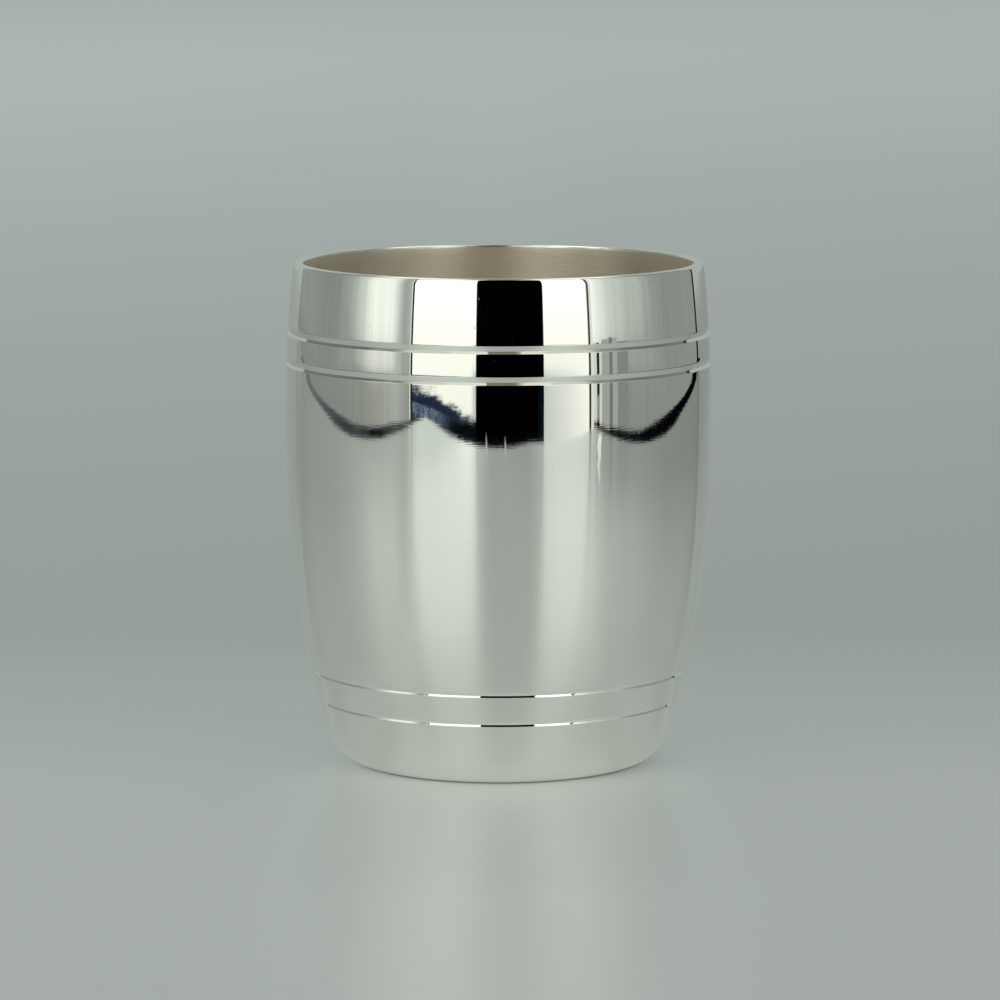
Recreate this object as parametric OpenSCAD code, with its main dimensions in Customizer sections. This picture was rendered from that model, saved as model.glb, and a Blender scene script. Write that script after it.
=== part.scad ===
// Barrel-shaped julep cup in sterling silver, standing mouth up on its foot.
// Every piece is round about the upright axis, so each one is a half outline that is turned.
// The axis is the origin's +Z, and the foot stands on z = 0.

/* [Body] */
// Height of the cup, from the table to the top of the lip
cup_h = 88.9; // [80:0.1:102]
// Diameter over the belly, the widest place
belly_d = 75.2; // [72.5:0.1:84]
// Height of the belly above the table
belly_z = 65; // [55:0.5:68]
// Diameter over the mouth
mouth_d = 72.2; // [66:0.1:75]
// Diameter of the flat ring that the cup stands on
foot_d = 46.8; // [40:0.1:54]
// Radius of the round between the foot and the side
foot_round_r = 6.7; // [4:0.1:8]
// How late the side turns in below the belly, as the power of its curve
side_power = 2.63; // [2:0.01:3.5]
// How late the side turns in above the belly, as the power of its curve
shoulder_power = 2; // [1.6:0.1:3]
// Thickness of the sheet that the body is spun from
wall_t = 1; // [0.8:0.05:1.4]

/* [Hoop lines] */
// Height of the lower line of the upper hoop
upper_hoop_z = 71.4; // [66:0.1:75]
// Height of the lower line of the lower hoop
lower_hoop_z = 11.5; // [9:0.1:20]
// Height of a hoop, between its two lines
hoop_h = 5.3; // [3:0.1:8]
// Depth of the upper hoop's lines
upper_line_depth = 0.35; // [0.15:0.05:0.5]
// Depth of the lower hoop's lines
lower_line_depth = 0.2; // [0.15:0.05:0.5]
// Height of a line's long upper side, as a multiple of its depth
line_rise = 2.4; // [1.8:0.1:3]
// Height of a line's short lower side, as a multiple of its depth
line_fall = 1.4; // [1:0.1:1.6]

/* [Lip] */
// Thickness of the ring inside the lip, at the mouth
lip_ring_t = 0.8; // [0.6:0.05:1.2]
// Thickness of the ring at its lower edge
lip_ring_edge_t = 0.25; // [0.15:0.05:0.5]
// Height of the ring
lip_ring_h = 9; // [5:0.5:12]
// Radius of the round on each edge of the lip
lip_round_r = 0.4; // [0.2:0.05:0.5]

/* [Base] */
// Thickness of the base disc
base_t = 1.2; // [0.8:0.1:1.6]
// Thickness of the disc where its dished edge ends
base_edge_t = 0.3; // [0.2:0.05:0.5]
// Width of the body's turned-in edge, which the disc sits on
seat_w = 1.8; // [1:0.1:4]
// How far the disc's dished edge climbs the inside of the foot, in degrees
dish_angle = 48; // [35:1:55]

/* [Solder] */
// Thickness of the solder film in a joint
film_t = 0.05; // [0.03:0.01:0.1]
// Height of the fillet between the base disc and the body
base_fillet_h = 0.8; // [0.5:0.1:1.2]
// Height of the fillet under the lip ring
lip_fillet_h = 0.6; // [0.3:0.1:1.2]

/* [Hidden] */
$fn = 180;

// Degrees between points in the foot's round, and steps in the side, the shoulder, a small
// round, and the search for the lean where the foot ends
foot_step = 4;
side_steps = 30;
shoulder_steps = 14;
round_steps = 8;
lean_steps = 40;
// The base disc keeps its thickness and then thins towards its edge, by this power
edge_power = 2;

silver = [0.86, 0.86, 0.85];
satin = [0.74, 0.71, 0.65];
solder = [0.66, 0.66, 0.63];

belly_r = belly_d / 2;
mouth_r = mouth_d / 2;
foot_r = foot_d / 2;
seat_r = foot_r - seat_w;
foot_c = [foot_r, foot_round_r];
ring_z = cup_h - lip_ring_h;
// Past the surface, where a cutter has to end outside the metal
overrun = 0.5;

function reversed(list) = [for (i = [len(list) - 1:-1:0]) list[i]];
function polar(r, a) = r * [cos(a), sin(a)];
function arc(c, r, from, to, steps) = [for (i = [0:steps]) c + polar(r, from + (to - from) * i / steps)];

// The foot's round hands over to the side where both lean alike. A lean is the angle that
// the outline makes with the upright, above zero where the cup widens upwards.
function start_r(lean) = foot_r + foot_round_r * cos(lean);
function start_z(lean) = foot_round_r * (1 - sin(lean));
function lean_excess(lean) =
    side_power * (belly_r - start_r(lean)) - (belly_z - start_z(lean)) * tan(lean);
function find_lean(low, high, left) =
    let (mid = (low + high) / 2)
    left == 0 ? mid
    : lean_excess(mid) > 0 ? find_lean(mid, high, left - 1)
    : find_lean(low, mid, left - 1);
foot_lean = find_lean(0, 80, lean_steps);
foot_sweep = 90 - foot_lean;
side_r1 = start_r(foot_lean);
side_z1 = start_z(foot_lean);

// Radius and lean of the outside at a height on the side
side_drop = belly_r - side_r1;
side_h = belly_z - side_z1;
shoulder_drop = belly_r - mouth_r;
shoulder_h = cup_h - belly_z;
function outside_r(z) =
    z < belly_z ? belly_r - side_drop * pow((belly_z - z) / side_h, side_power)
    : belly_r - shoulder_drop * pow((z - belly_z) / shoulder_h, shoulder_power);
function lean(z) =
    z < belly_z ? atan(side_drop * side_power / side_h * pow((belly_z - z) / side_h, side_power - 1))
    : -atan(shoulder_drop * shoulder_power / shoulder_h
            * pow((z - belly_z) / shoulder_h, shoulder_power - 1));

// A point beside the outside: out along the surface's normal, then up along the surface
function beside(z, out, up) =
    [outside_r(z) + out * cos(lean(z)) + up * sin(lean(z)), z - out * sin(lean(z)) + up * cos(lean(z))];
// Where the line at a depth below the outside meets the plane of the mouth
mouth_lean = lean(cup_h);
function mouth_point(depth) = [mouth_r - depth / cos(mouth_lean), cup_h];

// Half outlines at a depth below the outside: round the foot, then up the side, and the
// stretch behind the lip ring. Both of these end below the rounds of the lip.
function foot_point(depth, sweep) = foot_c + polar(foot_round_r - depth, sweep - 90);
function foot_line(depth, sweep) = concat(
    [for (turned = [0:foot_step:sweep - foot_step / 2]) foot_point(depth, turned)],
    [foot_point(depth, sweep)]);
function top_z(depth) = cup_h - 2 * lip_round_r - depth * sin(mouth_lean);
function side_line(depth) = concat(
    [for (i = [1:side_steps]) beside(side_z1 + side_h * i / side_steps, -depth, 0)],
    [for (i = [1:shoulder_steps])
        beside(belly_z + (top_z(depth) - belly_z) * i / shoulder_steps, -depth, 0)]);
function ring_line(depth) = [for (i = [0:shoulder_steps])
    beside(ring_z + (top_z(depth) - ring_z) * i / shoulder_steps, -depth, 0)];

// Rounds on the two edges of the lip, tangent to the mouth and to the faces that they join
outer_round_c = [mouth_r - lip_round_r * (1 + sin(mouth_lean)) / cos(mouth_lean), cup_h - lip_round_r];
outer_round = arc(outer_round_c, lip_round_r, -mouth_lean, 90, round_steps);
bore_r = mouth_point(wall_t + film_t + lip_ring_t)[0];
bore_lean = mouth_lean - atan((lip_ring_t - lip_ring_edge_t) / lip_ring_h);
bore_round_c = [bore_r + lip_round_r * (1 - sin(bore_lean)) / cos(bore_lean), cup_h - lip_round_r];
bore_round = arc(bore_round_c, lip_round_r, 90, 180 - bore_lean, round_steps);

// A hollow fillet from a point, which it leaves out, to another, drawn towards a corner
function fillet(a, corner, b) = [for (i = [1:round_steps])
    let (s = i / round_steps) (1 - s) * (1 - s) * a + 2 * s * (1 - s) * corner + s * s * b];

// A turned line: a long sloping upper side, and a short, steeper lower side
module hoop_line(z, depth) {
    rotate_extrude()
        polygon([
            beside(z, overrun, line_rise * (depth + overrun)),
            beside(z, -depth, 0),
            beside(z, overrun, -line_fall * (depth + overrun))]);
}

module barrel_wall() {
    color(silver)
        difference() {
            rotate_extrude()
                polygon(concat(
                    [[seat_r, 0]],
                    foot_line(0, foot_sweep),
                    side_line(0),
                    outer_round,
                    [mouth_point(wall_t)],
                    reversed(side_line(wall_t)),
                    reversed(foot_line(wall_t, foot_sweep)),
                    [[seat_r, wall_t]]));
            for (line_z = [upper_hoop_z, upper_hoop_z + hoop_h]) hoop_line(line_z, upper_line_depth);
            for (line_z = [lower_hoop_z, lower_hoop_z + hoop_h]) hoop_line(line_z, lower_line_depth);
        }
}

// The disc is dished at its edge, to nest in the inside of the foot, and thinned there
module base_disc() {
    floor_line = [for (i = [0:round_steps])
        let (s = i / round_steps, t = base_t - (base_t - base_edge_t) * pow(s, edge_power))
        foot_point(wall_t + film_t + t, dish_angle * s)];
    color(satin)
        rotate_extrude()
            polygon(concat(
                [[0, wall_t + film_t]],
                foot_line(wall_t + film_t, dish_angle),
                reversed(floor_line),
                [[0, wall_t + film_t + base_t]]));
}

// The ring thickens the lip, and thins towards its lower edge
module lip_ring() {
    bore_top_z = top_z(wall_t + film_t + lip_ring_t);
    bore_line = [for (i = [0:shoulder_steps])
        let (z = ring_z + (bore_top_z - ring_z) * i / shoulder_steps,
             t = lip_ring_edge_t + (lip_ring_t - lip_ring_edge_t) * (z - ring_z) / lip_ring_h)
        beside(z, -wall_t - film_t - t, 0)];
    color(satin)
        rotate_extrude()
            polygon(concat(
                ring_line(wall_t + film_t),
                [mouth_point(wall_t + film_t)],
                bore_round,
                reversed(bore_line)));
}

// The film under the disc and up its dished edge, and the fillet that ends it
module base_solder() {
    edge = foot_point(wall_t + film_t + base_edge_t, dish_angle);
    corner = foot_point(wall_t, dish_angle);
    fillet_sweep = dish_angle + base_fillet_h / (foot_round_r - wall_t) * 180 / PI;
    color(solder)
        rotate_extrude()
            polygon(concat(
                [[seat_r, wall_t]],
                foot_line(wall_t, fillet_sweep),
                fillet(foot_point(wall_t, fillet_sweep), (edge + corner) / 2, edge),
                reversed(foot_line(wall_t + film_t, dish_angle)),
                [[seat_r, wall_t + film_t]]));
}

// The film behind the lip ring, and the fillet under its lower edge
module lip_solder() {
    edge = beside(ring_z, -wall_t - film_t - lip_ring_edge_t, 0);
    corner = beside(ring_z, -wall_t, 0);
    foot = beside(ring_z - lip_fillet_h, -wall_t, 0);
    color(solder)
        rotate_extrude()
            polygon(concat(
                ring_line(wall_t),
                [mouth_point(wall_t), mouth_point(wall_t + film_t)],
                reversed(ring_line(wall_t + film_t)),
                [edge],
                fillet(edge, (edge + corner) / 2, foot)));
}

barrel_wall();
base_disc();
lip_ring();
base_solder();
lip_solder();
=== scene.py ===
import math

import bpy
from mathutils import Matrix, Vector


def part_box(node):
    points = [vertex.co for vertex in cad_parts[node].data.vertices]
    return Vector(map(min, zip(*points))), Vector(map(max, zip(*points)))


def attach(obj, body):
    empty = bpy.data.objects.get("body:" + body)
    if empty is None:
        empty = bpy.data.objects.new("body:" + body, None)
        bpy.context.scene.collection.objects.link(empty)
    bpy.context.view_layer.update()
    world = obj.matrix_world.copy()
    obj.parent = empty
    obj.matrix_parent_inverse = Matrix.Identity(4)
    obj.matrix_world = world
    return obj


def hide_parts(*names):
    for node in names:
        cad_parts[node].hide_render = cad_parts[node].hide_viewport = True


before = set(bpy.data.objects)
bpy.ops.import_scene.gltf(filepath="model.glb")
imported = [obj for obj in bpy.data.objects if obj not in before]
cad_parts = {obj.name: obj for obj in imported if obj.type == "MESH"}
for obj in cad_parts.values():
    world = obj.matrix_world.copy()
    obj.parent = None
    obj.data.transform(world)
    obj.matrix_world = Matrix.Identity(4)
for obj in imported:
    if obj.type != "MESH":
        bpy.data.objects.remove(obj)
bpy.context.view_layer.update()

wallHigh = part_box("barrel_wall")[1]         # the upper corner of the body's box
mm = 0.001

# The cup's own sizes, in metres. The height and the belly come from the frame.
cup = {
    "height": wallHigh.z,
    "bellyRadius": wallHigh.x,
    "bellyHeight": 65 * mm,
    "mouthRadius": 36.1 * mm,
    "footRadius": 23.4 * mm,
    "footRound": 6.7 * mm,
    "sidePower": 2.63,                      # how late the side turns in below the belly
    "shoulderPower": 2,                     # and above it
    "wall": 1 * mm,
    "film": 0.05 * mm,                      # solder in a joint
    "spinSteps": 256,
    "smoothAngle": 26,                      # in degrees; edges that turn more stay crisp
    "mergeWithin": 0.0005 * mm,
}
filmDepth = cup["wall"] + cup["film"]       # below the outside, where the soldered pieces begin

bpy.ops.object.select_all(action="DESELECT")


# Outline of the cup, as radius and height

def footStart(leanAngle):
    return (cup["footRadius"] + cup["footRound"] * math.cos(leanAngle),
            cup["footRound"] * (1 - math.sin(leanAngle)))


def findLean():
    # the foot's round hands over to the side where both lean alike
    low, high = 0, math.radians(80)
    for _ in range(40):
        middle = (low + high) / 2
        radius, height = footStart(middle)
        excess = (cup["sidePower"] * (cup["bellyRadius"] - radius)
                  - (cup["bellyHeight"] - height) * math.tan(middle))
        low, high = (middle, high) if excess > 0 else (low, middle)
    return (low + high) / 2


footLean = findLean()
sideRadius, sideHeight = footStart(footLean)


def outsideRadius(z):
    if z < cup["bellyHeight"]:
        part = (cup["bellyHeight"] - z) / (cup["bellyHeight"] - sideHeight)
        return cup["bellyRadius"] - (cup["bellyRadius"] - sideRadius) * part ** cup["sidePower"]
    part = (z - cup["bellyHeight"]) / (cup["height"] - cup["bellyHeight"])
    return cup["bellyRadius"] - (cup["bellyRadius"] - cup["mouthRadius"]) * part ** cup["shoulderPower"]


def lean(z):
    step = 0.01 * mm
    return math.atan((outsideRadius(z + step) - outsideRadius(z - step)) / (2 * step))


def beside(z, out, up):
    # a point beside the outside: out along the normal, then up along the surface
    a = lean(z)
    return (outsideRadius(z) + out * math.cos(a) + up * math.sin(a),
            z - out * math.sin(a) + up * math.cos(a))


def footPoint(depth, sweep):
    r = cup["footRound"] - depth
    return cup["footRadius"] + r * math.sin(sweep), cup["footRound"] - r * math.cos(sweep)


def footLine(depth, sweep, steps):
    return [footPoint(depth, sweep * i / steps) for i in range(steps + 1)]


mouthLean = lean(cup["height"])


def mouthPoint(depth):
    return cup["mouthRadius"] - depth / math.cos(mouthLean), cup["height"]


def spread(start, end, steps):
    return [start + (end - start) * i / steps for i in range(steps + 1)]


def arcPoints(centre, radius, start, end, steps):
    return [(centre[0] + radius * math.cos(a), centre[1] + radius * math.sin(a))
            for a in spread(start, end, steps)]


def hollowFillet(start, corner, end, steps=8):
    # leaves out its first point, which the outline already has
    path = []
    for s in spread(0, 1, steps)[1:]:
        near, bend, far = (1 - s) ** 2, 2 * s * (1 - s), s * s
        path.append(tuple(near * start[k] + bend * corner[k] + far * end[k] for k in (0, 1)))
    return path


def halfway(a, b):
    return (a[0] + b[0]) / 2, (a[1] + b[1]) / 2


# Making and finishing a turned piece

def turnPiece(name, outline):
    # one corner of a plane is drawn out along the half outline, which is then spun
    bpy.ops.object.select_all(action="DESELECT")
    bpy.ops.mesh.primitive_plane_add(size=mm, location=(0, 0, 0))
    piece = bpy.context.object
    piece.name = name
    bpy.ops.object.mode_set(mode="EDIT")
    bpy.ops.mesh.select_mode(type="VERT")
    bpy.ops.mesh.select_all(action="SELECT")
    bpy.ops.mesh.merge(type="CENTER")
    here = (0, 0)
    for i, (r, z) in enumerate(outline + outline[:1]):
        move = (r - here[0], 0, z - here[1])
        if i == 0:
            bpy.ops.transform.translate(value=move)
        else:
            bpy.ops.mesh.extrude_region_move(TRANSFORM_OT_translate={"value": move})
        here = (r, z)
    bpy.ops.mesh.select_all(action="SELECT")
    bpy.ops.mesh.remove_doubles(threshold=cup["mergeWithin"])
    bpy.ops.mesh.spin(steps=cup["spinSteps"], angle=2 * math.pi, center=(0, 0, 0), axis=(0, 0, 1))
    bpy.ops.mesh.select_all(action="SELECT")
    bpy.ops.mesh.remove_doubles(threshold=cup["mergeWithin"])
    bpy.ops.mesh.normals_make_consistent(inside=False)
    bpy.ops.object.mode_set(mode="OBJECT")
    bpy.ops.object.shade_smooth_by_angle(angle=math.radians(cup["smoothAngle"]))
    piece.select_set(False)
    return piece


def fitPiece(piece, cadNode, slotName, *materials):
    for material in materials:
        piece.data.materials.append(material)
    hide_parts(cadNode)
    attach(piece, "root")
    print("made", piece.name, "with", len(piece.data.polygons), "faces")


# Shader nodes

def node(tree, kind, inputs=None, **settings):
    made = tree.nodes.new(kind)
    for key, value in settings.items():
        setattr(made, key, value)
    for key, value in (inputs or {}).items():
        if isinstance(value, bpy.types.NodeSocket):
            tree.links.new(value, made.inputs[key])
        else:
            made.inputs[key].default_value = value
    return made


def mathNode(tree, operation, *values):
    return node(tree, "ShaderNodeMath", dict(enumerate(values)), operation=operation).outputs[0]


def times(tree, a, b):
    return mathNode(tree, "MULTIPLY", a, b)


def fitRange(tree, value, fromLow, fromHigh, toLow, toHigh, smooth=False):
    made = node(tree, "ShaderNodeMapRange", {
        "Value": value, "From Min": fromLow, "From Max": fromHigh, "To Min": toLow, "To Max": toHigh})
    if smooth:
        made.interpolation_type = "SMOOTHSTEP"
    return made.outputs[0]


def colourRamp(tree, value, stops):
    made = node(tree, "ShaderNodeValToRGB", {"Fac": value})
    ramp = made.color_ramp
    while len(ramp.elements) < len(stops):
        ramp.elements.new(0.5)
    for element, (place, colour) in zip(ramp.elements, stops):
        element.position = place
        element.color = (*colour, 1) if isinstance(colour, tuple) else (colour, colour, colour, 1)
    return made.outputs["Color"]


def rampAcross(tree, value, low, high, stops):
    return colourRamp(tree, fitRange(tree, value, low, high, 0, 1), stops)


def mixColours(tree, fac, a, b, blend="MIX"):
    made = tree.nodes.new("ShaderNodeMix")
    made.data_type = "RGBA"
    made.blend_type = blend
    for index, value in ((0, fac), (6, a), (7, b)):
        if isinstance(value, bpy.types.NodeSocket):
            tree.links.new(value, made.inputs[index])
        else:
            made.inputs[index].default_value = (*value, 1) if isinstance(value, tuple) else value
    return made.outputs[2]


def timesColour(tree, a, b):
    return mixColours(tree, 1, a, b, "MULTIPLY")


def timesValue(tree, colour, value):
    grey = node(tree, "ShaderNodeCombineColor", {0: value, 1: value, 2: value}).outputs[0]
    return timesColour(tree, colour, grey)


def objectPlace(tree):
    return node(tree, "ShaderNodeTexCoord").outputs["Object"]


def objectAxes(tree):
    place = objectPlace(tree)
    return place, node(tree, "ShaderNodeSeparateXYZ", {0: place}).outputs


def stretchedNoise(tree, place, scale, detail, roughness=0.5):
    mapped = node(tree, "ShaderNodeMapping", {"Vector": place, "Scale": scale}).outputs[0]
    return node(tree, "ShaderNodeTexNoise", {
        "Vector": mapped, "Scale": 1, "Detail": detail, "Roughness": roughness}).outputs[0]


def addBump(tree, shader, height, strength, depth):
    bump = node(tree, "ShaderNodeBump", {"Height": height, "Strength": strength, "Distance": depth})
    tree.links.new(bump.outputs[0], shader.inputs["Normal"])


def newGroup(name, inputs, output):
    group = bpy.data.node_groups.new(name, "ShaderNodeTree")
    for label, value in inputs.items():
        socket = group.interface.new_socket(name=label, in_out="INPUT", socket_type="NodeSocketFloat")
        socket.default_value = value
    group.interface.new_socket(name=output, in_out="OUTPUT", socket_type="NodeSocketFloat")
    return group, group.nodes.new("NodeGroupInput").outputs, group.nodes.new("NodeGroupOutput").inputs[output]


def placeGroup(tree, group, **values):
    # gives the one thing that the group puts out
    return node(tree, "ShaderNodeGroup", values, node_tree=group).outputs[0]


def newMaterial(name, metallic=0):
    material = bpy.data.materials.new(name)
    material.use_nodes = True
    shader = material.node_tree.nodes["Principled BSDF"]
    shader.inputs["Metallic"].default_value = metallic
    return material, material.node_tree, shader


# Effects that the silver finishes share. First, fine lines left by the spinning lathe, all round the axis.
turnLines, given, result = newGroup("turnLines", {"Pitch": 5000, "Breaks": 25}, "Height")
place, axes = objectAxes(turnLines)
squashed = node(turnLines, "ShaderNodeCombineXYZ", {
    0: times(turnLines, axes[0], given["Breaks"]),
    1: times(turnLines, axes[1], given["Breaks"]),
    2: times(turnLines, axes[2], given["Pitch"])}).outputs[0]
lines = node(turnLines, "ShaderNodeTexNoise", {"Vector": squashed, "Scale": 1, "Detail": 3})
turnLines.links.new(lines.outputs[0], result)

# Rings on a flat disc, which the lathe leaves about the middle
facingRings, given, result = newGroup("facingRings", {"Pitch": 4000}, "Height")
place, axes = objectAxes(facingRings)
radius = mathNode(facingRings, "SQRT", mathNode(
    facingRings, "ADD", mathNode(facingRings, "POWER", axes[0], 2), mathNode(facingRings, "POWER", axes[1], 2)))
rings = node(facingRings, "ShaderNodeTexNoise", {
    "W": times(facingRings, radius, given["Pitch"]), "Scale": 1, "Detail": 3}, noise_dimensions="1D")
facingRings.links.new(rings.outputs[0], result)

# Handling haze: broad soft smudges, 0 to 1
handling, given, result = newGroup("handling", {"Scale": 60, "Cover": 0.5}, "Haze")
cloud = node(handling, "ShaderNodeTexNoise", {
    "Vector": objectPlace(handling), "Scale": given["Scale"], "Detail": 4, "Distortion": 0.6})
handling.links.new(fitRange(handling, cloud.outputs[0], given["Cover"], 0.8, 0, 1, smooth=True), result)

# Dust: a few tiny specks, 0 to 1
dust, given, result = newGroup("dust", {"Scale": 700, "Amount": 0.02}, "Specks")
cells = node(dust, "ShaderNodeTexVoronoi", {"Vector": objectPlace(dust), "Scale": given["Scale"]})
chance = node(dust, "ShaderNodeSeparateColor", {0: cells.outputs["Color"]}).outputs[0]
rare = mathNode(dust, "LESS_THAN", chance, given["Amount"])
small = fitRange(dust, cells.outputs["Distance"], 0.12, 0.3, 1, 0, smooth=True)
dust.links.new(times(dust, rare, small), result)


# Silver, mirror polished
polish = {
    "colour": (0.952, 0.957, 0.9),
    "dusty": (0.72, 0.72, 0.68),
    "smooth": 0.02,                         # roughness where it is clean, and where it was handled
    "hazy": 0.045,
    "lineRough": 0.008,                     # roughness that the lathe's lines and the dust add
    "dustRough": 0.25,
    "lineDepth": 0.01 * mm,
}
polishedSilver, tree, shader = newMaterial("polishedSilver", metallic=1)
haze = placeGroup(tree, handling, Scale=45, Cover=0.42)
fineLines = placeGroup(tree, turnLines, Pitch=5200, Breaks=330)
specks = placeGroup(tree, dust, Scale=1500, Amount=0.006)
softness = mathNode(tree, "ADD", fitRange(tree, haze, 0, 1, polish["smooth"], polish["hazy"]),
                    fitRange(tree, fineLines, 0.4, 0.75, 0, polish["lineRough"]))
tree.links.new(mathNode(tree, "ADD", softness, times(tree, specks, polish["dustRough"])),
               shader.inputs["Roughness"])
tree.links.new(mixColours(tree, times(tree, specks, 0.5), polish["colour"], polish["dusty"]),
               shader.inputs["Base Color"])
addBump(tree, shader, fineLines, 0.06, polish["lineDepth"])

# Silver, satin: brushed round the cup, so it spreads a reflection up and down more than sideways
satin = {
    "bright": (0.95, 0.9, 0.79),
    "dull": (0.9, 0.84, 0.705),
    "rough": (0.37, 0.48),
    "spreadUp": 0.8,                        # 0 spreads a reflection alike in all directions
    "brushDepth": 0.05 * mm,
    "lipRough": 0.12,                       # at the lip, which is buffed
    "buffFrom": cup["height"] - 0.55 * mm,  # where the buffing starts, and where it is full
    "buffTo": cup["height"] - 0.2 * mm,
}
satinSilver, tree, shader = newMaterial("satinSilver", metallic=1)
haze = placeGroup(tree, handling, Scale=70, Cover=0.35)
brushLines = placeGroup(tree, turnLines, Pitch=7000, Breaks=150)
place, axes = objectAxes(tree)
buffed = fitRange(tree, axes[2], satin["buffFrom"], satin["buffTo"], 0, 1, smooth=True)
roughness = fitRange(tree, brushLines, 0.3, 0.7, *satin["rough"])
tree.links.new(node(tree, "ShaderNodeMix", {0: buffed, 2: roughness, 3: satin["lipRough"]}).outputs[0],
               shader.inputs["Roughness"])
tone = mixColours(tree, haze, satin["bright"], satin["dull"])
tree.links.new(mixColours(tree, buffed, tone, polish["colour"]), shader.inputs["Base Color"])
addBump(tree, shader, brushLines, 0.9, satin["brushDepth"])
shader.inputs["Anisotropic"].default_value = satin["spreadUp"]
shader.inputs["Anisotropic Rotation"].default_value = 0.25      # a quarter turn, across the brushing
aroundCup = node(tree, "ShaderNodeTangent", direction_type="RADIAL", axis="Z")
tree.links.new(aroundCup.outputs[0], shader.inputs["Tangent"])

# Silver, faced on the lathe: the base disc
floor = {"rough": (0.3, 0.44), "ringDepth": 0.02 * mm}
floorSilver, tree, shader = newMaterial("floorSilver", metallic=1)
haze = placeGroup(tree, handling, Scale=90, Cover=0.3)
rings = placeGroup(tree, facingRings, Pitch=3800)
tree.links.new(fitRange(tree, rings, 0.3, 0.7, *floor["rough"]), shader.inputs["Roughness"])
tree.links.new(mixColours(tree, haze, satin["bright"], satin["dull"]), shader.inputs["Base Color"])
addBump(tree, shader, rings, 0.15, floor["ringDepth"])

# Hard solder, cleaned up after the joint is made
joint = {"bright": (0.79, 0.78, 0.72), "dull": (0.6, 0.58, 0.53), "rough": (0.35, 0.55), "lumps": 0.05 * mm}
hardSolder, tree, shader = newMaterial("hardSolder", metallic=1)
mottle = placeGroup(tree, handling, Scale=900, Cover=0.3)
tree.links.new(mixColours(tree, mottle, joint["bright"], joint["dull"]), shader.inputs["Base Color"])
tree.links.new(fitRange(tree, mottle, 0, 1, *joint["rough"]), shader.inputs["Roughness"])
addBump(tree, shader, mottle, 0.2, joint["lumps"])
print("finishes ready")


# Barrel wall: the spun body
barrel = {
    "seatWidth": 1.8 * mm,                                          # turned-in edge under the disc
    "lines": ((11.5 * mm, 0.2 * mm), (16.8 * mm, 0.2 * mm),         # height of each turned line, and
              (71.4 * mm, 0.35 * mm), (76.7 * mm, 0.35 * mm)),      # its depth
    "longSide": 2.4,                                                # rise of each side, per depth
    "shortSide": 1.4,
    "lineEdge": 0.1 * mm,                                           # round at the lower edge of a line
    "edgeRoll": (0.3 * mm, 0.012 * mm),                             # buffed-off edge above a line
    "lipRoll": (1.1 * mm, 0.1 * mm),                                # the lip turns in a little
    "lipRound": 0.4 * mm,
    "facet": 1.3 * mm,                                              # height of a face on the plain side
    "footSteps": 26,
    "lipSteps": 12,
    "insideSteps": 40,
}
seatRadius = cup["footRadius"] - barrel["seatWidth"]


def lipRollIn(z):
    rollHeight, rollDrop = barrel["lipRoll"]
    part = max(0, z - cup["height"] + rollHeight) / rollHeight
    return rollDrop * part ** 2


def turnedLine(z, depth):
    # a short lower side with a rounded edge, a long sloping upper side, and the buffed edge above it
    fall, rise = barrel["shortSide"] * depth, barrel["longSide"] * depth
    turn = math.atan2(depth, fall)
    r = barrel["lineEdge"]
    start = -fall - r * math.tan(turn / 2)
    rounded = [beside(z, r * math.cos(a) - r, start + r * math.sin(a)) for a in spread(0, turn, 6)]
    lower = [beside(z, -depth * s, fall * (s - 1)) for s in (0.5, 0.9)]
    root = [beside(z, -depth * 0.985, 0), beside(z, -depth * 0.9, rise * 0.08)]
    rollHeight, rollDepth = barrel["edgeRoll"]
    sloping = [beside(z, -depth + (depth - rollDepth) * s, rise * s) for s in (0.35, 0.65, 0.9, 1)]
    rolled = [beside(z, -rollDepth * (1 - s) ** 2, rise + rollHeight * s) for s in (0.15, 0.3, 0.5, 0.75, 1)]
    return rounded + lower + root + sloping + rolled


def plainSide(start, end):
    steps = max(2, round((end - start) / barrel["facet"]))
    return [(outsideRadius(z), z) for z in spread(start, end, steps)]


def barrelOutline():
    outside = [(seatRadius, 0)]
    outside += footLine(0, math.pi / 2 - footLean, barrel["footSteps"])
    start = sideHeight
    for z, depth in barrel["lines"]:
        outside += plainSide(start, z - barrel["shortSide"] * depth - barrel["lineEdge"])[1:]
        outside += turnedLine(z, depth)
        start = z + barrel["longSide"] * depth + barrel["edgeRoll"][0]
    rollFrom = cup["height"] - barrel["lipRoll"][0]
    outside += plainSide(start, rollFrom)[1:]
    # the lip: a slow roll inwards, then the rounded edge
    r = barrel["lipRound"]
    topRadius = cup["mouthRadius"] - lipRollIn(cup["height"])
    tilt = math.atan(2 * barrel["lipRoll"][1] / barrel["lipRoll"][0]) - mouthLean
    roundZ = cup["height"] - r
    outside += [(outsideRadius(z) - lipRollIn(z), z) for z in spread(rollFrom, roundZ, barrel["lipSteps"])[1:-1]]
    centre = (topRadius - r * (1 - math.sin(tilt)) / math.cos(tilt), roundZ)
    outside += arcPoints(centre, r, tilt, math.pi / 2, 8)
    # over the top, down the inside, and under the foot
    inside = [mouthPoint(cup["wall"])]
    insideHeights = spread(cup["height"] - 0.8 * mm, sideHeight, barrel["insideSteps"])
    inside += [beside(z, -cup["wall"], 0) for z in insideHeights]
    inside += footLine(cup["wall"], math.pi / 2 - footLean, 14)[-2::-1]
    return outside + inside + [(seatRadius, cup["wall"])]


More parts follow.
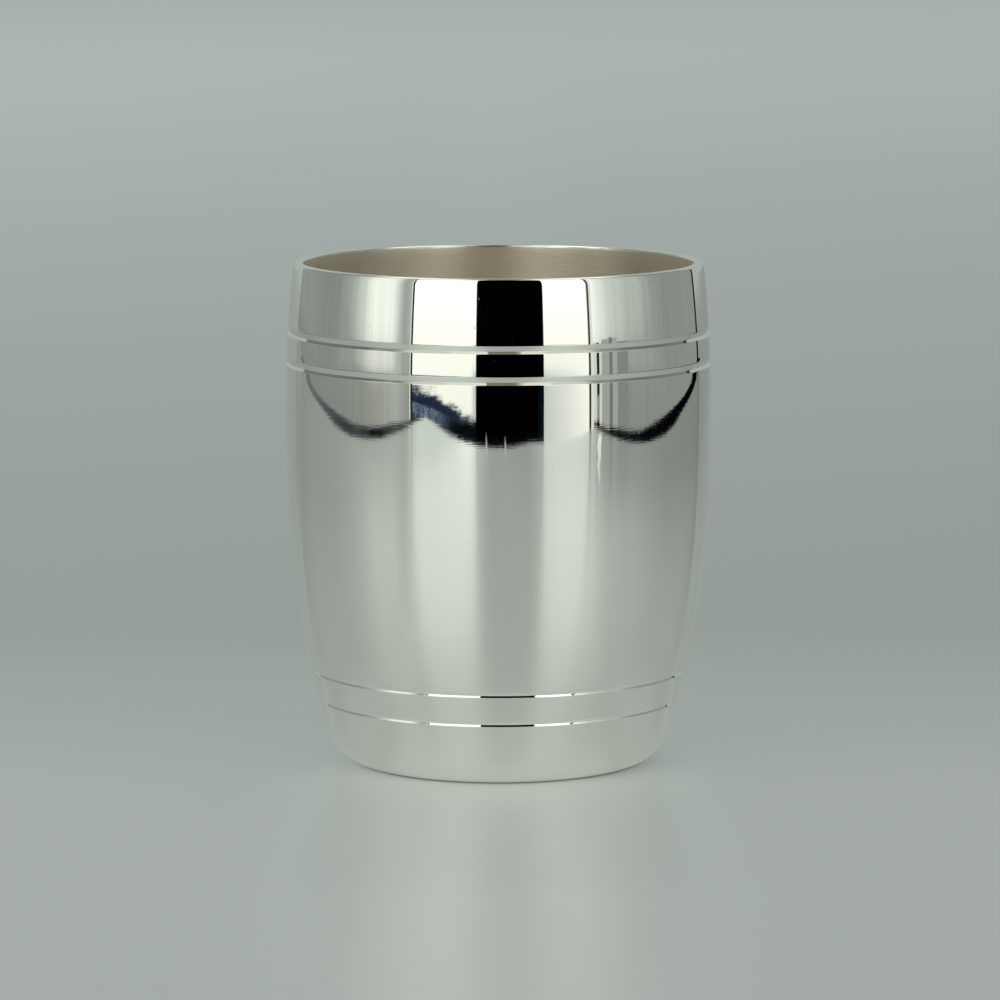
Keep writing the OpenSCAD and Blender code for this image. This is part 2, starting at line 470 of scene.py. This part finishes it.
barrelWall = turnPiece("barrelWall", barrelOutline())
fitPiece(barrelWall, "barrel_wall", "polished_silver", polishedSilver, satinSilver)
for face in barrelWall.data.polygons:       # the inside is satin, and so is the seat
    r, z = math.hypot(face.center.x, face.center.y), face.center.z
    inward = face.normal.x * face.center.x + face.normal.y * face.center.y < 0
    facingUp = face.normal.z > 0.5 and z < cup["height"] - mm
    bore = r < outsideRadius(max(z, sideHeight)) - 0.8 * cup["wall"]
    if z > 0.5 * mm and bore and (inward or facingUp):
        face.material_index = 1


# Lip ring, which thickens the mouth, and its solder
lip = {
    "thick": 0.8 * mm,
    "edge": 0.25 * mm,                      # thickness where it ends, below
    "height": 9 * mm,
    "round": 0.4 * mm,
    "boreRoll": (1.8 * mm, 0.15 * mm),      # the bore rolls outwards just below the mouth
    "fillet": 0.6 * mm,
    "steps": 14,
    "boreSteps": 30,
}
ringFrom = cup["height"] - lip["height"]


def alongRing(depth):
    # behind the ring, from its lower edge to below the rounded lip
    end = cup["height"] - 2 * lip["round"] - depth * math.sin(mouthLean)
    return [beside(z, -depth, 0) for z in spread(ringFrom, end, lip["steps"])]


def boreRadius(z):
    # the ring thickens upwards
    rollHeight, rollDrop = lip["boreRoll"]
    depth = filmDepth + lip["edge"] + (lip["thick"] - lip["edge"]) * (z - ringFrom) / lip["height"]
    part = max(0, z - cup["height"] + rollHeight) / rollHeight
    return outsideRadius(z) - depth / math.cos(lean(z)) + rollDrop * part ** 2


roundZ = cup["height"] - lip["round"]
boreLean = math.atan((boreRadius(roundZ) - boreRadius(roundZ - 0.1 * mm)) / (0.1 * mm))
boreTop = boreRadius(roundZ) + lip["round"] * math.tan(boreLean)
boreCentre = (boreTop + lip["round"] * (1 - math.sin(boreLean)) / math.cos(boreLean), roundZ)
boreRound = arcPoints(boreCentre, lip["round"], math.pi / 2, math.pi - boreLean, 8)
boreBottom = beside(ringFrom, -filmDepth - lip["edge"], 0)
boreLine = [(boreRadius(z), z) for z in spread(roundZ, ringFrom + 0.3 * mm, lip["boreSteps"])[1:]]
lipRing = turnPiece("lipRing", alongRing(filmDepth) + [mouthPoint(filmDepth)] + boreRound + boreLine + [boreBottom])
fitPiece(lipRing, "lip_ring", "satin_silver", satinSilver)

underRing = halfway(boreBottom, beside(ringFrom, -cup["wall"], 0))
filletEnd = beside(ringFrom - lip["fillet"], -cup["wall"], 0)
lipSolder = turnPiece("lipSolder", alongRing(cup["wall"]) + [mouthPoint(cup["wall"]), mouthPoint(filmDepth)]
                      + alongRing(filmDepth)[::-1] + [boreBottom]
                      + hollowFillet(boreBottom, underRing, filletEnd))
fitPiece(lipSolder, "lip_solder", "silver_solder", hardSolder)


# Base disc, dished at its edge to nest in the foot, and its solder
base = {
    "thick": 1.2 * mm,
    "edge": 0.3 * mm,                       # thickness where the dished edge ends
    "dish": math.radians(48),
    "fillet": 0.8 * mm,
    "steps": 12,
}
discTop = []
for s in spread(0, 1, base["steps"]):
    t = base["thick"] - (base["thick"] - base["edge"]) * s ** 2
    discTop.append(footPoint(filmDepth + t, base["dish"] * s))
discFloor = [(s * cup["footRadius"], filmDepth + base["thick"]) for s in (0.75, 0.5, 0.25, 0)]
baseDisc = turnPiece("baseDisc", [(0, filmDepth)] + footLine(filmDepth, base["dish"], base["steps"])
                     + discTop[::-1] + discFloor)
fitPiece(baseDisc, "base_disc", "satin_silver", floorSilver)

discEdge = footPoint(filmDepth + base["edge"], base["dish"])
besideDisc = halfway(discEdge, footPoint(cup["wall"], base["dish"]))
filletSweep = base["dish"] + base["fillet"] / (cup["footRound"] - cup["wall"])
baseSolder = turnPiece("baseSolder", [(seatRadius, cup["wall"])] + footLine(cup["wall"], filletSweep, 14)
                       + hollowFillet(footPoint(cup["wall"], filletSweep), besideDisc, discEdge)
                       + footLine(filmDepth, base["dish"], base["steps"])[::-1] + [(seatRadius, filmDepth)])
fitPiece(baseSolder, "base_solder", "silver_solder", hardSolder)


# Stage: the panels, cards and stand that the silver shows, the table, and the room
room = {
    "backdrop": (0.385, 0.435, 0.41),
    "ceiling": (0.175, 0.168, 0.142),
    "tent": (0.63, 0.62, 0.55),             # pale cloth high up, to the left and right of the gap
    "tentBehind": (1.6, 1.57, 1.42),
}


def glowMaterial(name, colour=(1, 1, 1)):
    material = bpy.data.materials.new(name)
    material.use_nodes = True
    tree = material.node_tree
    tree.nodes.remove(tree.nodes["Principled BSDF"])
    glow = node(tree, "ShaderNodeEmission", {"Color": (*colour, 1), "Strength": 1})
    tree.links.new(glow.outputs[0], tree.nodes["Material Output"].inputs["Surface"])
    return material, tree, glow


def angleRound(tree, axes):
    # the angle round the cup, 0 at the front and above zero on the right
    return mathNode(tree, "ARCTAN2", axes[0], times(tree, axes[1], -1))


def rampRound(tree, angle, stops):
    # all the way round, with each stop's angle in degrees
    return rampAcross(tree, angle, -math.pi, math.pi, [((degrees + 180) / 360, value) for degrees, value in stops])


def rampAside(tree, angle, stops):
    # alike on both sides, with each stop's angle from the front in degrees
    return rampAcross(tree, mathNode(tree, "ABSOLUTE", angle), 0, math.pi,
                      [(degrees / 180, value) for degrees, value in stops])


# The panels' light, by the share of their height. The left one frays out into the dark at its
# lower edge, the hem, which climbs towards the left. Both are dimmer low down beside the gap.
panels = {
    "height": 2.6,
    "light": [(0, 0.93), (0.037, 1.05), (0.055, 1.2), (0.074, 1.5), (0.115, 1.4), (0.155, 0.9),
              (0.4, 0.75), (1, 0.7)],
    "tint": (1.0, 1.02, 0.94),
    "hem": [(0, 0.038), (0.2, 0.039), (0.37, 0.036), (0.6, 0.025), (0.87, 0.009), (1, 0.0)],    # left to right
    "fray": 0.009,
    "below": (0.012, 0.022, 0.045),
    "dim": (0.3, 0.34, 0.35),
    "dimming": 0.6,
}
panelGlow, tree, glow = glowMaterial("panelGlow")
place, axes = objectAxes(tree)
bright = rampAcross(tree, axes[2], 0, panels["height"], [
    (share, tuple(value * tint for tint in panels["tint"])) for share, value in panels["light"]])
threads = stretchedNoise(tree, place, (24, 24, 420), 5, 0.6)
hem = rampAcross(tree, axes[0], -0.43, -0.11, panels["hem"])
aboveHem = mathNode(tree, "SUBTRACT", mathNode(tree, "ADD", axes[2], 0.006), hem)
frayed = mathNode(tree, "ADD", aboveHem, fitRange(tree, threads, 0.3, 0.7, -panels["fray"], panels["fray"]))
whole = mathNode(tree, "MAXIMUM", fitRange(tree, frayed, -0.002, 0.005, 0, 1),
                 fitRange(tree, axes[0], 0, 0.05, 0, 1))
leftInner = times(tree, fitRange(tree, axes[0], -0.15, -0.122, 0, 1, smooth=True),
                  mathNode(tree, "LESS_THAN", axes[0], 0))
rightInner = times(tree, fitRange(tree, axes[0], 0.4, 0.2, 0, 1), mathNode(tree, "GREATER_THAN", axes[0], 0))
inner = times(tree, mathNode(tree, "ADD", leftInner, rightInner),
              fitRange(tree, axes[2], 0.045, 0.085, 1, 0, smooth=True))
dimmed = mixColours(tree, times(tree, inner, panels["dimming"]), bright, panels["dim"])
tree.links.new(mixColours(tree, whole, panels["below"], dimmed), glow.inputs["Color"])

# The dark room between the panels, with a few faint wisps
gap = {"wisp": (0.004, 0.008, 0.013), "streak": (0.003, 0.006, 0.011)}
gapGlow, tree, glow = glowMaterial("gapGlow")
place, axes = objectAxes(tree)
wispy = colourRamp(tree, stretchedNoise(tree, place, (90, 90, 14), 4), [(0.64, 0.0), (0.8, gap["wisp"])])
streak = rampAcross(tree, axes[0], 0.17, 0.2, [(0, 0.0), (0.75, gap["streak"]), (1, 0.0)])
lowDown = fitRange(tree, axes[2], 0.035, 0.05, 1, 0, smooth=True)
tree.links.new(mixColours(tree, lowDown, wispy, streak, "ADD"), glow.inputs["Color"])

# The side cards' light, by degrees round the cup. It fades low down, though never below its least.
cards = {
    "height": 0.75,
    "light": [(-140, 0.29), (-120, 0.28), (-106, 0.255), (-96, 0.265), (-86, 0.37), (-77, 0.63),
              (-70, 0.96), (-62, 0.97), (-57, 0.9), (-54, 0.62), (-51, 0.35), (-46, 0.48),
              (50, 1.0), (56, 0.8), (60, 0.64), (72, 0.49), (80, 0.46), (89, 0.33), (100, 0.27), (140, 0.28)],
    "fadeHeight": 0.14,                     # shade and least are by the share of this height
    "shade": [(0, 0.28), (0.2, 0.31), (0.42, 0.72), (0.58, 0.9), (0.75, 1.0)],
    "least": [(0, 0.27), (0.2, 0.28), (0.42, 0.34), (1, 0.34)],
    "leastRound": [(-108, 0.9), (-75.6, 1.0), (-64.8, 1.22), (-54, 1.5), (-46.8, 1.0)],
    "above": [(0, 1.0), (1, 0.6)],          # from 250 to 600 mm up
    "streaks": [(0.3, 0.93), (0.7, 1.06)],
    "tint": [(0.26, (0.91, 1.0, 0.955)), (0.85, (0.95, 1.0, 0.925))],       # from dim to bright
}
cardGlow, tree, glow = glowMaterial("cardGlow")
place, axes = objectAxes(tree)
angle = angleRound(tree, axes)
tone = rampRound(tree, angle, cards["light"])
shade = rampAcross(tree, axes[2], 0, cards["fadeHeight"], cards["shade"])
least = timesColour(tree, rampAcross(tree, axes[2], 0, cards["fadeHeight"], cards["least"]),
                    rampRound(tree, angle, cards["leastRound"]))
lit = mixColours(tree, 1, timesColour(tree, tone, shade), mixColours(tree, 1, tone, least, "DARKEN"), "LIGHTEN")
lit = timesColour(tree, lit, rampAcross(tree, axes[2], 0.25, 0.6, cards["above"]))
streaks = colourRamp(tree, stretchedNoise(tree, place, (60, 60, 4), 3), cards["streaks"])
tint = colourRamp(tree, tone, cards["tint"])
tree.links.new(timesColour(tree, timesColour(tree, lit, streaks), tint), glow.inputs["Color"])


def standCard(name, left, right, material, top=cards["height"], bottoms=(0, 0), topInset=0):
    # a plane stood up between two plan points, seen by reflections only
    bpy.ops.object.select_all(action="DESELECT")
    turned = math.atan2(right[1] - left[1], right[0] - left[0])
    middle = ((left[0] + right[0]) / 2, (left[1] + right[1]) / 2, top / 2)
    bpy.ops.mesh.primitive_plane_add(size=1, location=middle, rotation=(math.pi / 2, 0, turned))
    card = bpy.context.object
    card.name = name
    card.scale = (math.dist(left, right), top, 1)
    bpy.ops.object.transform_apply(location=True, rotation=True, scale=True)
    for vertex in card.data.vertices:
        atRight = math.dist(vertex.co[:2], right) < math.dist(vertex.co[:2], left)
        if vertex.co.z < top / 2:
            vertex.co.z = bottoms[1 if atRight else 0]
        elif atRight:
            vertex.co.x -= topInset * math.cos(turned)
            vertex.co.y -= topInset * math.sin(turned)
    card.data.materials.append(material)
    card.select_set(False)
    card.visible_camera = card.visible_diffuse = card.visible_shadow = False


# Plain tones of the narrow pieces. They glow, so the light and shade on them are painted in
tones = {
    "darkEdge": (0.006, 0.012, 0.018),
    "lightEdge": (0.72, 0.76, 0.7),
    "paleGrey": (0.62, 0.66, 0.6),
    "rimGrey": (0.35, 0.38, 0.34),
    "midGrey": (0.34, 0.36, 0.33),
    "darkGrey": (0.17, 0.19, 0.18),
    "shadeGrey": (0.22, 0.24, 0.225),
    "postGlow": (0.5, 0.44, 0.38),
}
plain = {name: glowMaterial(name, colour)[0] for name, colour in tones.items()}

tall = panels["height"]
standCard("leftPanelOuter", (-0.424, -0.417), (-0.33, -0.469), panelGlow, top=tall, bottoms=(0.02, 0.016))
standCard("leftPanelInner", (-0.33, -0.469), (-0.113, -0.59), panelGlow, top=tall, bottoms=(0.016, -0.01))
standCard("leftPanelEdge", (-0.434, -0.4115), (-0.424, -0.417), plain["darkEdge"])
standCard("leftPanelFrame", (-0.442, -0.407), (-0.434, -0.4115), plain["lightEdge"])
standCard("rightPanel", (0.198, -0.468), (0.403, -0.364), panelGlow, top=tall, topInset=0.09)
standCard("rightPanelEdge", (0.403, -0.364), (0.413, -0.3588), plain["darkEdge"], top=0.5, topInset=0.03)
standCard("rightPanelFrame", (0.413, -0.3588), (0.428, -0.3512), plain["lightEdge"], top=0.5, topInset=0.03)
standCard("gapFront", (-0.1, -0.4915), (0.125, -0.4915), gapGlow)
standCard("gapSide", (0.125, -0.4915), (0.21, -0.4635), gapGlow)
for postX, postHeight in ((-0.05, 0.0065), (0.031, 0.0055)):
    standCard("gapPost", (postX - 0.004, -0.483), (postX + 0.003, -0.483), plain["postGlow"],
              top=postHeight, topInset=0.0055)
standCard("leftCardNear", (-0.478, -0.31), (-0.43, -0.4), cardGlow)
standCard("leftCard", (-0.923, 1.071), (-0.478, -0.31), cardGlow)
standCard("leftCardEnd", (-0.943, 1.132), (-0.923, 1.071), plain["darkGrey"])
standCard("rightCardNear", (0.463, -0.394), (0.521, -0.11), cardGlow)
standCard("rightCardMiddle", (0.521, -0.11), (0.556, 0), cardGlow)
standCard("rightCard", (0.556, 0), (0.676, 0.652), cardGlow)
standCard("rightCardEnd", (0.676, 0.652), (0.69, 0.724), plain["darkEdge"])
standCard("standFace", (0.449, -0.389), (0.456, -0.351), plain["paleGrey"], top=0.083)
standCard("standSlot", (0.456, -0.351), (0.459, -0.335), plain["darkEdge"], top=0.076, bottoms=(0.024, 0.03))
standCard("standTrim", (0.459, -0.335), (0.462, -0.32), plain["paleGrey"], top=0.08)
standCard("standBar", (0.462, -0.32), (0.471, -0.275), plain["midGrey"], top=0.086)
standCard("standBack", (0.471, -0.275), (0.4745, -0.256), plain["darkGrey"], top=0.088, bottoms=(0.001, 0.0015))
standCard("standRib", (0.4745, -0.256), (0.48, -0.228), plain["rimGrey"], top=0.086, bottoms=(0.0015, 0.002))
standCard("standShade", (0.48, -0.228), (0.492, -0.165), plain["shadeGrey"], top=0.074, bottoms=(0.002, 0.003))

# The stand gleams on the table, as a narrow strip that runs towards the cup. Each place along it
# has its distance from the cup, its angle and its width, both in degrees.
strip = [(0.3, 52.5, 0.5), (0.335, 52.4, 0.9), (0.37, 53.1, 1.1), (0.405, 52.7, 1.5), (0.44, 53.5, 1.7),
         (0.475, 53.3, 2.1), (0.52, 54.0, 2.2)]
bpy.ops.object.select_all(action="DESELECT")
bpy.ops.mesh.primitive_grid_add(x_subdivisions=1, y_subdivisions=len(strip) - 1, size=1, location=(0, 0, mm))
gleam = bpy.context.object
gleam.name = "standGleam"
for i, (reach, degrees, wide) in enumerate(strip):
    for k in (0, 1):
        a = math.radians(degrees + wide * (k - 0.5))
        gleam.data.vertices[2 * i + k].co = (reach * math.sin(a), -reach * math.cos(a), 0)
gleam.visible_camera = gleam.visible_diffuse = gleam.visible_shadow = False
gleam.select_set(False)
gleamGlow, tree, glow = glowMaterial("gleamGlow")
place, axes = objectAxes(tree)
tree.links.new(rampAcross(tree, axes[0], 0.25, 0.42, [
    (0, (0.42, 0.46, 0.41)), (0.3, (0.6, 0.64, 0.56)), (1, (0.8, 0.84, 0.75))]), glow.inputs["Color"])
gleam.data.materials.append(gleamGlow)
print("panels, cards and stand ready")


# The table goes on to the horizon for the camera. In the silver it ends at its own edges.
tableLook = {
    "ownLight": 0.7,                        # the rest of its light comes from the room
    "roughness": 0.33,
    "ior": 1.9,
    "edges": [((0, -1), 0.4855), ((0.446, -0.896), 0.507),          # the way out from the cup, and
              ((0.988, -0.154), 0.486), ((-0.96, -0.28), 0.504)],   # how far off the edge is
    "warm": (1.0, 0.99, 0.9),               # light that the cup throws
    "gleams": [(-49, 0.0), (-42, 1.0), (-15, 1.0), (-9, 0.5), (-5, 0.05), (0, 0.0),
               (15, 0.0), (20, 0.4), (25, 0.8), (30, 1.0), (43, 1.0), (48, 0.6), (54, 0.0)],
}
bpy.ops.object.select_all(action="DESELECT")
bpy.ops.mesh.primitive_plane_add(size=60, location=(0, 0, 0))
table = bpy.context.object
table.name = "table"
table.select_set(False)
tableTop, tree, shader = newMaterial("tableTop")
place, axes = objectAxes(tree)
fromCup = node(tree, "ShaderNodeVectorMath", {0: place}, operation="LENGTH").outputs["Value"]
angle = angleRound(tree, axes)
glossy = node(tree, "ShaderNodeLightPath").outputs["Is Glossy Ray"]
fibres = stretchedNoise(tree, place, (60, 130, 1), 5, 0.6)
past = -1
for (nx, ny), reach in tableLook["edges"]:
    along = mathNode(tree, "ADD", times(tree, axes[0], nx), times(tree, axes[1], ny))
    past = mathNode(tree, "MAXIMUM", mathNode(tree, "SUBTRACT", along, reach), past)
wavy = mathNode(tree, "ADD", past, fitRange(tree, fibres, 0.25, 0.75, -0.004, 0.004))
beyond = times(tree, fitRange(tree, wavy, -0.001, 0.002, 0, 1), mathNode(tree, "LESS_THAN", axes[1], 0.7))
hidden = times(tree, beyond, glossy)

# As the camera sees it, in painted light and shade: duller behind the cup, pale again far off, and paler on the
# left
toCamera = rampAcross(tree, axes[1], -0.5, 4.5, [
    (0.06, (0.3, 0.33, 0.31)), (0.095, (0.3, 0.33, 0.31)), (0.105, (0.27, 0.3, 0.285)),
    (0.13, (0.2, 0.23, 0.22)), (0.17, (0.2, 0.235, 0.225)), (0.26, (0.23, 0.265, 0.255)),
    (0.53, (0.29, 0.335, 0.32)), (0.87, room["backdrop"])])
leftward = fitRange(tree, axes[0], -0.25, 0.25, 1.06, 0.94)

# As the silver shows it: lit by the panels in front, duller at the sides, most of all on the right
inSilver = rampAcross(tree, axes[1], -0.5, 1.5, [
    (0.0, (0.355, 0.39, 0.37)), (0.2, (0.37, 0.405, 0.385)), (0.24, (0.34, 0.37, 0.35)),
    (0.27, (0.31, 0.34, 0.32)), (0.4, (0.28, 0.31, 0.295)), (0.7, (0.3, 0.33, 0.315))])
rightDull = rampAcross(tree, axes[0], 0.04, 0.42, [(0, 1.0), (0.21, 0.93), (0.42, 0.83), (0.76, 0.62), (1, 0.57)])
leftDull = fitRange(tree, axes[0], -0.04, -0.3, 1, 0.8)
behind = rampAside(tree, angle, [(109.8, 1.0), (122.4, 0.91), (129.6, 0.84), (133.2, 0.92), (136.8, 0.83),
                                 (180, 0.8)])

# The panels gleam on the table, most of all near them. Beside the foot's sides the table has a little painted
# light, and further round towards the back a little painted shade
facing = rampRound(tree, angle, tableLook["gleams"])
farGleam = rampAcross(tree, fromCup, 0.05, 0.51, [
    (0, 0.02), (0.1, 0.2), (0.35, 0.33), (0.65, 0.5), (0.85, 0.65), (1, 0.9)])
gleaming = mathNode(tree, "MULTIPLY_ADD", facing, farGleam, 1)
besideFoot = times(tree, fitRange(tree, fromCup, 0.08, 0.045, 0, 0.13, smooth=True),
                   rampAside(tree, angle, [(50.4, 0.0), (64.8, 1.0), (81, 1.0), (95.4, 0.0), (100.8, -0.5)]))

# The cup throws light on the table in front of it, and a painted shadow darkens the table just where its foot meets
# it
middle = fitRange(tree, mathNode(tree, "ABSOLUTE", axes[0]), 0.05, 0.005, 0, 1, smooth=True)
inFront = times(tree, middle, fitRange(tree, axes[1], -0.006, -0.022, 0, 1))
nearFoot = rampAcross(tree, fromCup, 0.024, 0.104, [
    (0, 0.52), (0.05, 0.45), (0.11, 0.36), (0.18, 0.27), (0.33, 0.15), (0.5, 0.08), (0.8, 0.02), (1, 0.0)])
thrown = mathNode(tree, "MULTIPLY_ADD", inFront, nearFoot, 1)
# A painted reflection of the cup on the table in front of it, which the camera sees
onward = rampAcross(tree, axes[1], -0.03, -0.33, [(0, 0.02), (0.12, 0.1), (0.3, 0.17), (1, 0.03)])
mirrored = mathNode(tree, "MULTIPLY_ADD", middle, onward, 1)
contactShadow = rampAcross(tree, fromCup, 0.0234, 0.0264, [(0, 0.05), (0.3, 0.22), (0.5, 0.6), (0.7, 0.9), (1, 1.0)])

# A soft shadow hugs the foot on the right, and the silver doesn't show it
toRight = times(tree, fitRange(tree, axes[0], 0.008, 0.026, 0, 1, smooth=True),
                mathNode(tree, "SUBTRACT", 1, glossy))
softer = mixColours(tree, toRight, (1.0, 1.0, 1.0), rampAcross(tree, fromCup, 0.024, 0.034, [
    (0, 0.55), (0.25, 0.82), (0.55, 0.94), (1, 1.0)]))

inSilver = timesColour(tree, timesColour(tree, inSilver, rightDull), behind)
inSilver = timesValue(tree, inSilver, times(tree, leftDull, mathNode(tree, "ADD", gleaming, besideFoot)))
levels = mixColours(tree, glossy, timesValue(tree, toCamera, times(tree, leftward, mirrored)), inSilver)
shadowed = timesColour(tree, timesColour(tree, levels, contactShadow), softer)
warmed = mixColours(tree, times(tree, inFront, nearFoot), shadowed, timesColour(tree, shadowed, tableLook["warm"]))
pooled = timesValue(tree, warmed, thrown)
roomShare = 1 - tableLook["ownLight"]
tree.links.new(timesColour(tree, pooled, (roomShare, roomShare, roomShare)), shader.inputs["Base Color"])
tree.links.new(pooled, shader.inputs["Emission Color"])
shader.inputs["Emission Strength"].default_value = tableLook["ownLight"]
shader.inputs["Roughness"].default_value = tableLook["roughness"]
shader.inputs["IOR"].default_value = tableLook["ior"]

# Past the table's edges it is dark, with a blue cloth in front on the left
cloth = colourRamp(tree, fibres, [(0.38, (0.003, 0.008, 0.022)), (0.49, (0.025, 0.05, 0.1)),
                                  (0.57, (0.14, 0.21, 0.32)), (0.65, (0.75, 0.8, 0.8))])
gloom = colourRamp(tree, fibres, [(0.35, 0.0), (0.62, (0.001, 0.002, 0.004)), (0.75, (0.02, 0.024, 0.026))])
besideLeft = rampAcross(tree, axes[1], -0.4, 0.5, [
    (0, 0.04), (0.05, 0.045), (0.12, 0.04), (0.165, 0.015), (0.19, 0.0), (0.24, 0.0), (0.28, 0.03), (0.34, 0.05),
    (0.42, 0.035), (0.55, 0.07), (0.75, 0.13), (1, 0.15)])
bluish = timesColour(tree, besideLeft, (0.9, 1.05, 1.1))
gloom = mixColours(tree, fitRange(tree, axes[0], -0.3, -0.4, 0, 1), gloom, bluish)
onCloth = times(tree, fitRange(tree, axes[0], -0.2, -0.38, 0, 1, smooth=True),
                fitRange(tree, axes[1], -0.44, -0.48, 0, 1))
offTable = node(tree, "ShaderNodeEmission", {"Color": mixColours(tree, onCloth, gloom, cloth), "Strength": 1})
edged = node(tree, "ShaderNodeMixShader", {0: hidden, 1: shader.outputs[0], 2: offTable.outputs[0]})
farOff = node(tree, "ShaderNodeEmission", {"Color": (*room["backdrop"], 1), "Strength": 1})
finished = node(tree, "ShaderNodeMixShader", {
    0: fitRange(tree, fromCup, 1.2, 4, 0, 1, smooth=True), 1: edged.outputs[0], 2: farOff.outputs[0]})
tree.links.new(finished.outputs[0], tree.nodes["Material Output"].inputs["Surface"])
table.data.materials.append(tableTop)
print("table ready")


# The room in the silver: the pale sweep behind, a dark warm ceiling in front, and the pale tent
world = bpy.data.worlds.new("studio")
bpy.context.scene.world = world
world.use_nodes = True
tree = world.node_tree
tree.nodes.clear()
direction = node(tree, "ShaderNodeTexCoord").outputs["Generated"]
axes = node(tree, "ShaderNodeSeparateXYZ", {0: direction}).outputs
front = colourRamp(tree, axes[2], [(0, room["backdrop"]), (0.3, (0.3, 0.32, 0.29)), (0.6, (0.19, 0.17, 0.14)),
                                   (1, room["ceiling"])])
rear = colourRamp(tree, axes[2], [(0, room["backdrop"]), (0.6, (0.4, 0.43, 0.4)), (1, room["ceiling"])])
roomLight = mixColours(tree, fitRange(tree, axes[1], -0.25, 0.15, 0, 1, smooth=True), front, rear)
sideOfGap = mathNode(tree, "ABSOLUTE", axes[0])
acrossTent = times(tree, fitRange(tree, sideOfGap, 0.6, 0.5, 0, 1, smooth=True),
                   fitRange(tree, axes[2], 0.77, 0.85, 0, 1, smooth=True))
tent = times(tree, fitRange(tree, sideOfGap, 0.1, 0.17, 0, 1, smooth=True), acrossTent)
tentLight = mixColours(tree, fitRange(tree, axes[1], -0.02, 0.05, 0, 1), room["tent"], room["tentBehind"])
roomLight = mixColours(tree, tent, roomLight, tentLight)
rays = node(tree, "ShaderNodeLightPath").outputs
ambient = mixColours(tree, rays["Is Glossy Ray"], (0.95, 0.95, 0.95), roomLight)
roomColour = mixColours(tree, rays["Is Camera Ray"], ambient, room["backdrop"])
backdrop = node(tree, "ShaderNodeBackground", {"Color": roomColour, "Strength": 1})
tree.links.new(backdrop.outputs[0], node(tree, "ShaderNodeOutputWorld").inputs["Surface"])
print("room ready")


view = {"place": (0.264 * mm, -892.1 * mm, 165.85 * mm), "down": 7.627, "lens": 182.72, "sensor": 36}
bpy.ops.object.camera_add(location=view["place"], rotation=(math.radians(90 - view["down"]), 0, 0))
camera = bpy.context.object
camera.data.sensor_width = view["sensor"]
camera.data.lens = view["lens"]
camera.select_set(False)
bpy.context.scene.camera = camera
bpy.context.scene.view_settings.view_transform = "Standard"
print("camera ready")
